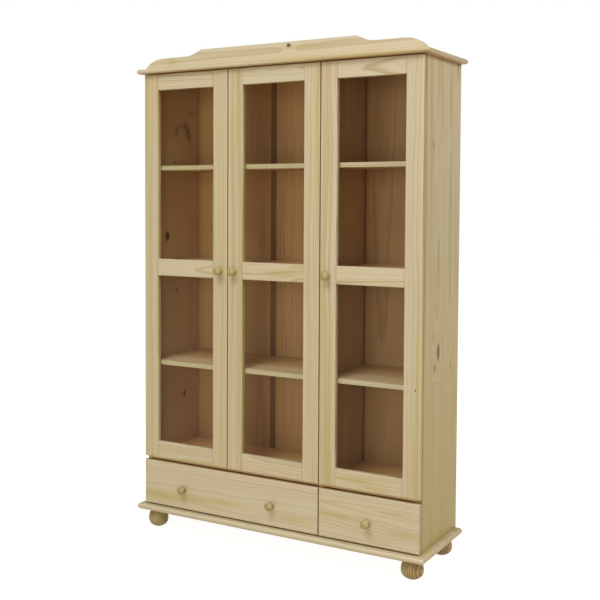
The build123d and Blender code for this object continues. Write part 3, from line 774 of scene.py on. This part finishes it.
def lit_room(scene, strength):
    """Even room light, seen as plain white behind the cabinet."""
    scene.world = bpy.data.worlds.new("room")
    scene.world.use_nodes = True
    room = Nodes(scene.world.node_tree)
    path = room.node("ShaderNodeLightPath", {}, {}).outputs
    seen = room.maths("MAXIMUM", path["Is Camera Ray"], path["Is Transmission Ray"])
    light = room.output("ShaderNodeBackground", {"Color": opaque(WHITE), "Strength": strength})
    backdrop = room.output("ShaderNodeBackground", {"Color": opaque(WHITE), "Strength": 1.0})
    both = room.output("ShaderNodeMixShader", {0: seen, 1: light, 2: backdrop})
    room.node("ShaderNodeOutputWorld", {}, {"Surface": both})


def soft_lamp(scene, name, place, aim, size, power):
    lamp = bpy.data.lights.new(name, "AREA")
    lamp.size = size
    lamp.energy = power
    holder = bpy.data.objects.new(name, lamp)
    holder.location = place
    holder.rotation_euler = (Vector(aim) - Vector(place)).to_track_quat("-Z", "Y").to_euler()
    scene.collection.objects.link(holder)


def lay_floor(scene, stage):
    sheet = bmesh.new()
    bmesh.ops.create_grid(sheet, x_segments=4, y_segments=4, size=stage.floor_size / 2)
    mesh = bpy.data.meshes.new("floor")
    sheet.to_mesh(mesh)
    sheet.free()
    mesh.materials.append(floor_finish(stage))
    floor = bpy.data.objects.new("floor", mesh)
    scene.collection.objects.link(floor)


def set_camera(scene, stage):
    lens = bpy.data.cameras.new("camera")
    lens.lens = stage.lens
    lens.sensor_width = 36.0
    lens.shift_x, lens.shift_y = stage.shift
    lens.clip_end = 100.0
    camera = bpy.data.objects.new("camera", lens)
    camera.location = stage.place
    camera.rotation_euler = (math.pi / 2 - stage.dip, 0.0, stage.heading)
    scene.collection.objects.link(camera)
    scene.camera = camera


class CABINET_OT_stage(bpy.types.Operator):
    """Floor, soft lamps, room light and camera"""

    bl_idname = "cabinet.stage"
    bl_label = "Stage and camera"
    bl_options = {"REGISTER", "UNDO"}

    def execute(self, context):
        scene = context.scene
        stage = scene.cabinet_stage
        lay_floor(scene, stage)
        lit_room(scene, stage.sky)
        for name, place, aim, size, power in LAMPS:
            soft_lamp(scene, name, place, aim, size, getattr(stage, power))
        set_camera(scene, stage)
        scene.view_settings.view_transform = "Standard"
        return {"FINISHED"}


SETTINGS = (
    ("cabinet_wood", CabinetWoodSettings),
    ("cabinet_fittings", CabinetFittingSettings),
    ("cabinet_stage", CabinetStageSettings),
)
STEPS = (
    CABINET_OT_case_boards, CABINET_OT_back, CABINET_OT_shelves, CABINET_OT_doors, CABINET_OT_drawers,
    CABINET_OT_turnings, CABINET_OT_panes, CABINET_OT_hinges, CABINET_OT_stage,
)


class CABINET_PT_panel(bpy.types.Panel):
    """The cabinet's steps and settings"""

    bl_label = "Display cabinet"
    bl_idname = "CABINET_PT_panel"
    bl_space_type = "VIEW_3D"
    bl_region_type = "UI"
    bl_category = "Cabinet"

    def draw(self, context):
        for step in STEPS:
            self.layout.operator(step.bl_idname)
        for name, group in SETTINGS:
            box = self.layout.box()
            for setting in group.__annotations__:
                box.prop(getattr(context.scene, name), setting)


def register():
    for name, group in SETTINGS:
        bpy.utils.register_class(group)
        setattr(bpy.types.Scene, name, PointerProperty(type=group))
    for step in STEPS:
        bpy.utils.register_class(step)
    bpy.utils.register_class(CABINET_PT_panel)


def unregister():
    bpy.utils.unregister_class(CABINET_PT_panel)
    for step in reversed(STEPS):
        bpy.utils.unregister_class(step)
    for name, group in reversed(SETTINGS):
        delattr(bpy.types.Scene, name)
        bpy.utils.unregister_class(group)


def main():
    register()
    bpy.ops.cabinet.case_boards()
    bpy.ops.cabinet.back()
    bpy.ops.cabinet.shelves()
    bpy.ops.cabinet.doors()
    bpy.ops.cabinet.drawers()
    bpy.ops.cabinet.turnings()
    bpy.ops.cabinet.panes()
    bpy.ops.cabinet.hinges()
    bpy.ops.cabinet.stage()


if __name__ == "__main__":
    main()
